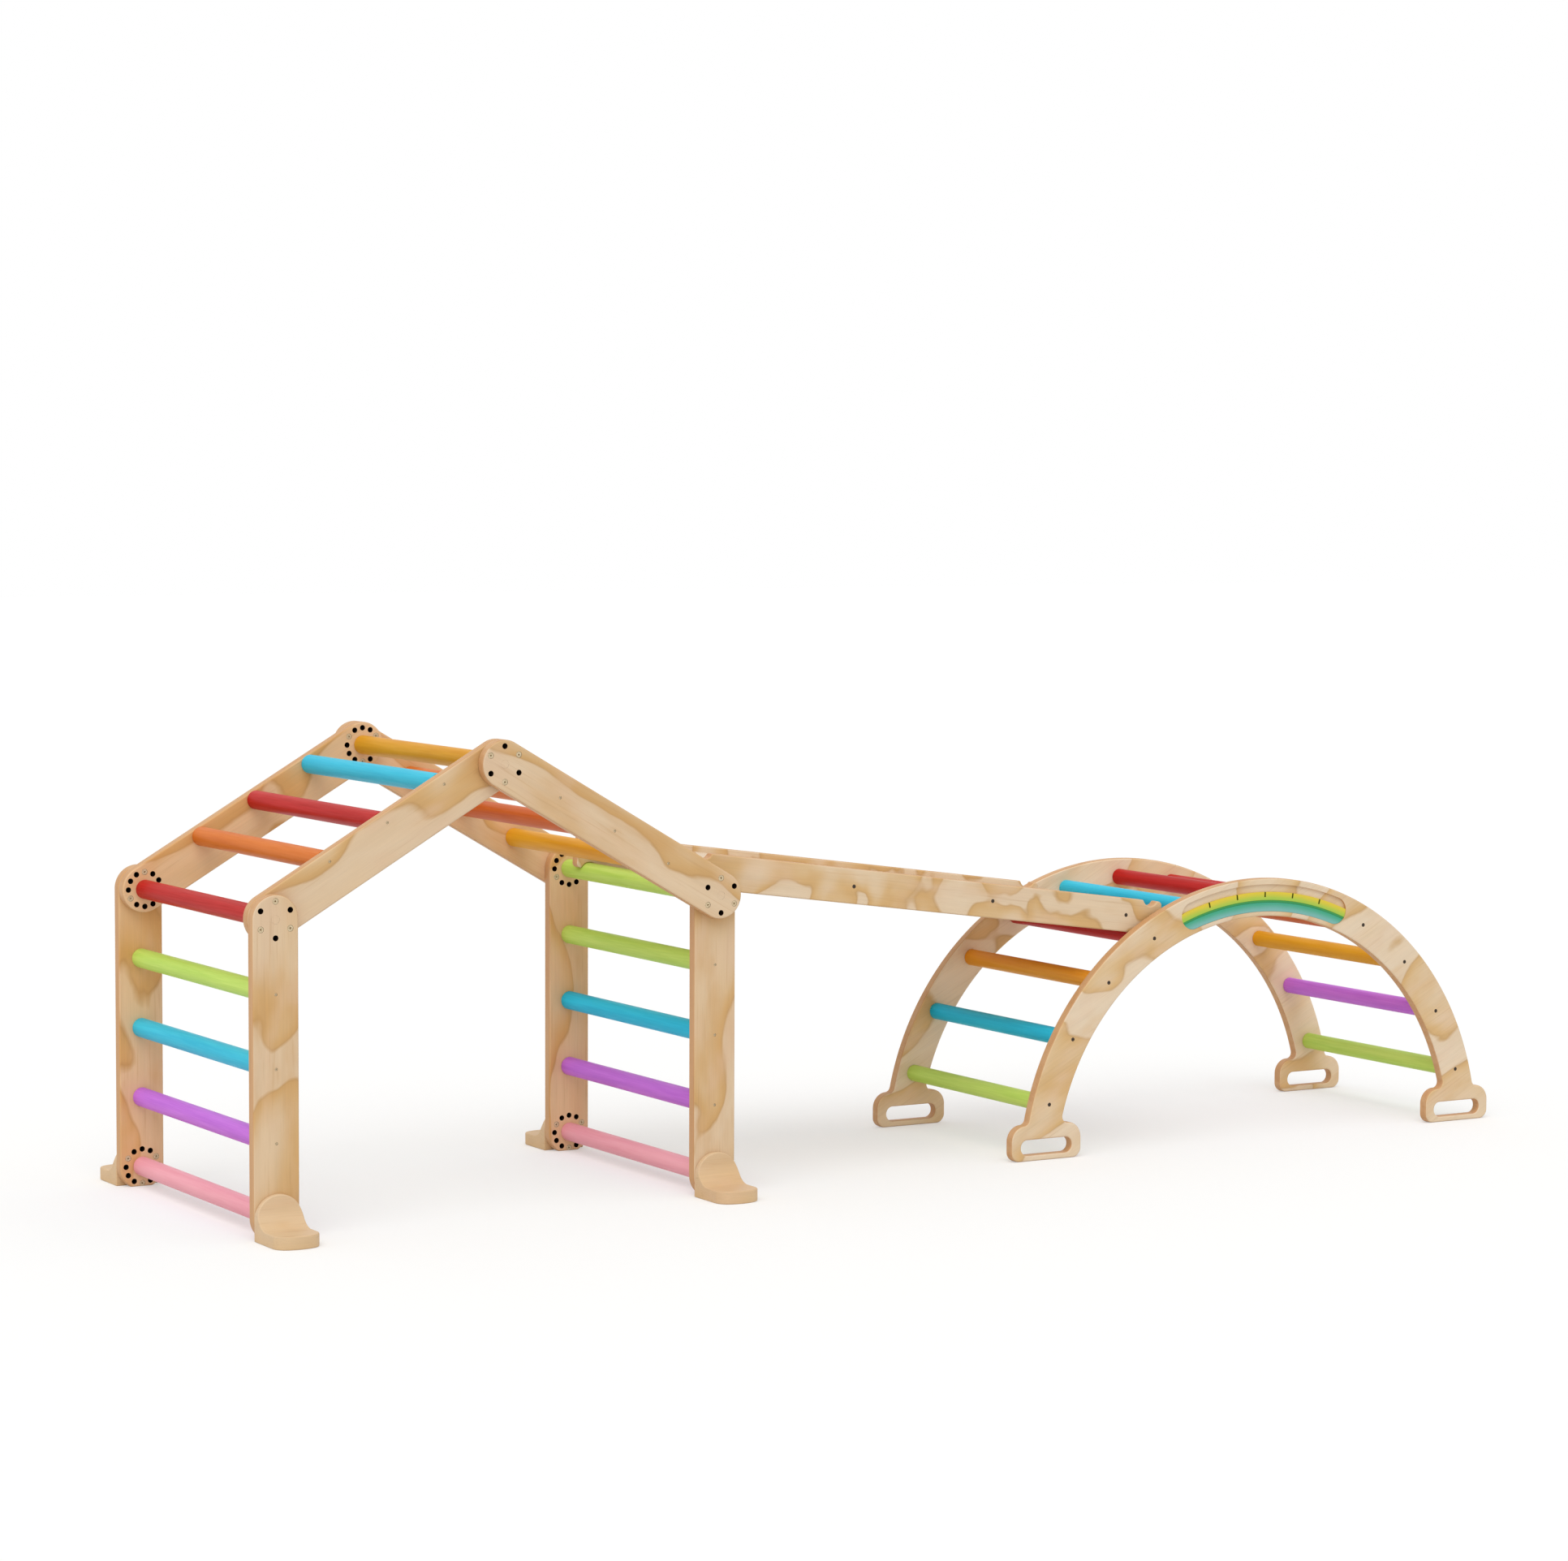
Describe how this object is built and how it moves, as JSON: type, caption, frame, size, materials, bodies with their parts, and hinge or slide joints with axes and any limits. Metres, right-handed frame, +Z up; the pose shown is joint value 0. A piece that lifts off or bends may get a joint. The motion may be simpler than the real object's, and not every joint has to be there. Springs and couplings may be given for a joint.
{
  "type": "climbing tower",
  "caption": "Folding child's climbing house of ladder sections with coloured dowel rungs, standing beside a rung arch and linked to it by a hook-on ramp.",
  "frame": {"origin": "on the floor under the middle of the whole set's bounding box", "axes": "+X along the set from the house to the arch, +Y from the near side, where the inlay is, to the far side, +Z up"},
  "size_m": [2.3518, 0.725, 0.7215],
  "materials": {
    "birch": "clear varnished birch, satin",
    "red": "water-based stain under satin varnish",
    "lime": "water-based stain under satin varnish",
    "blue": "water-based stain under satin varnish",
    "sky": "water-based stain under satin varnish",
    "purple": "water-based stain under satin varnish",
    "pink": "water-based stain under satin varnish",
    "orange": "water-based stain under satin varnish",
    "amber": "water-based stain under satin varnish",
    "vermilion": "water-based stain under satin varnish",
    "nickel": "bright nickel plate",
    "yellow": "matt stripe",
    "green": "matt stripe",
    "teal": "matt stripe"
  },
  "bodies": {
    "base": {"arch_far_board": "birch", "arch_inlay_green": "green", "arch_inlay_teal": "teal", "arch_inlay_yellow": "yellow", "arch_near_board": "birch", "arch_rung_10_purple": "purple", "arch_rung_11_lime": "lime", "arch_rung_1_lime": "lime", "arch_rung_2_blue": "blue", "arch_rung_3_orange": "orange", "arch_rung_4_red": "red", "arch_rung_5_sky": "sky", "arch_rung_6_red": "red", "arch_rung_7_vermilion": "vermilion", "arch_rung_8_vermilion": "vermilion", "arch_rung_9_amber": "amber", "right_foot_rung_pink": "pink", "right_joint_rung_lime": "lime", "right_leg_far_board": "birch", "right_leg_near_board": "birch", "right_leg_rung_1_purple": "purple", "right_leg_rung_2_blue": "blue", "right_leg_rung_3_lime": "lime"},
    "right_roof_section": {"apex_hinge_far_bolt": "nickel", "apex_hinge_near_bolt": "nickel", "right_hinge_far_bolt": "nickel", "right_hinge_near_bolt": "nickel", "right_roof_far_board": "birch", "right_roof_near_board": "birch", "right_roof_rung_1_amber": "amber", "right_roof_rung_2_vermilion": "vermilion", "right_roof_rung_3_orange": "orange"},
    "left_roof_section": {"apex_rung_amber": "amber", "left_joint_rung_red": "red", "left_roof_far_board": "birch", "left_roof_near_board": "birch", "left_roof_rung_1_orange": "orange", "left_roof_rung_2_red": "red", "left_roof_rung_3_sky": "sky"},
    "left_leg_section": {"left_foot_rung_pink": "pink", "left_hinge_far_bolt": "nickel", "left_hinge_near_bolt": "nickel", "left_leg_far_board": "birch", "left_leg_near_board": "birch", "left_leg_rung_1_purple": "purple", "left_leg_rung_2_sky": "sky", "left_leg_rung_3_lime": "lime"},
    "left_near_foot_body": {"left_near_foot": "birch"},
    "left_far_foot_body": {"left_far_foot": "birch"},
    "right_near_foot_body": {"right_near_foot": "birch"},
    "right_far_foot_body": {"right_far_foot": "birch"},
    "ramp": {"ramp_batten_1": "birch", "ramp_batten_2": "birch", "ramp_batten_3": "birch", "ramp_batten_4": "birch", "ramp_deck": "birch", "ramp_far_rail": "birch", "ramp_near_rail": "birch"}
  },
  "joints": [
    {"name": "right_hinge", "type": "hinge", "parent": "base", "child": "right_roof_section", "pos_m": [-0.3946, 0, 0.47], "axis": [0, -1, 0], "range_deg": [-60, 90]},
    {"name": "apex_hinge", "type": "hinge", "parent": "right_roof_section", "child": "left_roof_section", "pos_m": [-0.767, 0, 0.685], "axis": [0, 1, 0], "range_deg": [-30, 60]},
    {"name": "left_hinge", "type": "hinge", "parent": "left_roof_section", "child": "left_leg_section", "pos_m": [-1.1394, 0, 0.47], "axis": [0, -1, 0], "range_deg": [-60, 90]},
    {"name": "left_near_foot_pivot", "type": "hinge", "parent": "left_leg_section", "child": "left_near_foot_body", "pos_m": [-1.1394, 0, 0.032], "axis": [0, 1, 0], "range_deg": [-60, 60]},
    {"name": "left_far_foot_pivot", "type": "hinge", "parent": "left_leg_section", "child": "left_far_foot_body", "pos_m": [-1.1394, 0, 0.032], "axis": [0, 1, 0], "range_deg": [-60, 60]},
    {"name": "right_near_foot_pivot", "type": "hinge", "parent": "base", "child": "right_near_foot_body", "pos_m": [-0.3946, 0, 0.032], "axis": [0, 1, 0], "range_deg": [-60, 60]},
    {"name": "right_far_foot_pivot", "type": "hinge", "parent": "base", "child": "right_far_foot_body", "pos_m": [-0.3946, 0, 0.032], "axis": [0, 1, 0], "range_deg": [-60, 60]},
    {"name": "ramp_lift", "type": "slide", "parent": "base", "child": "ramp", "axis": [0, 0, 1], "range_m": [0, 0.15]}
  ]
}
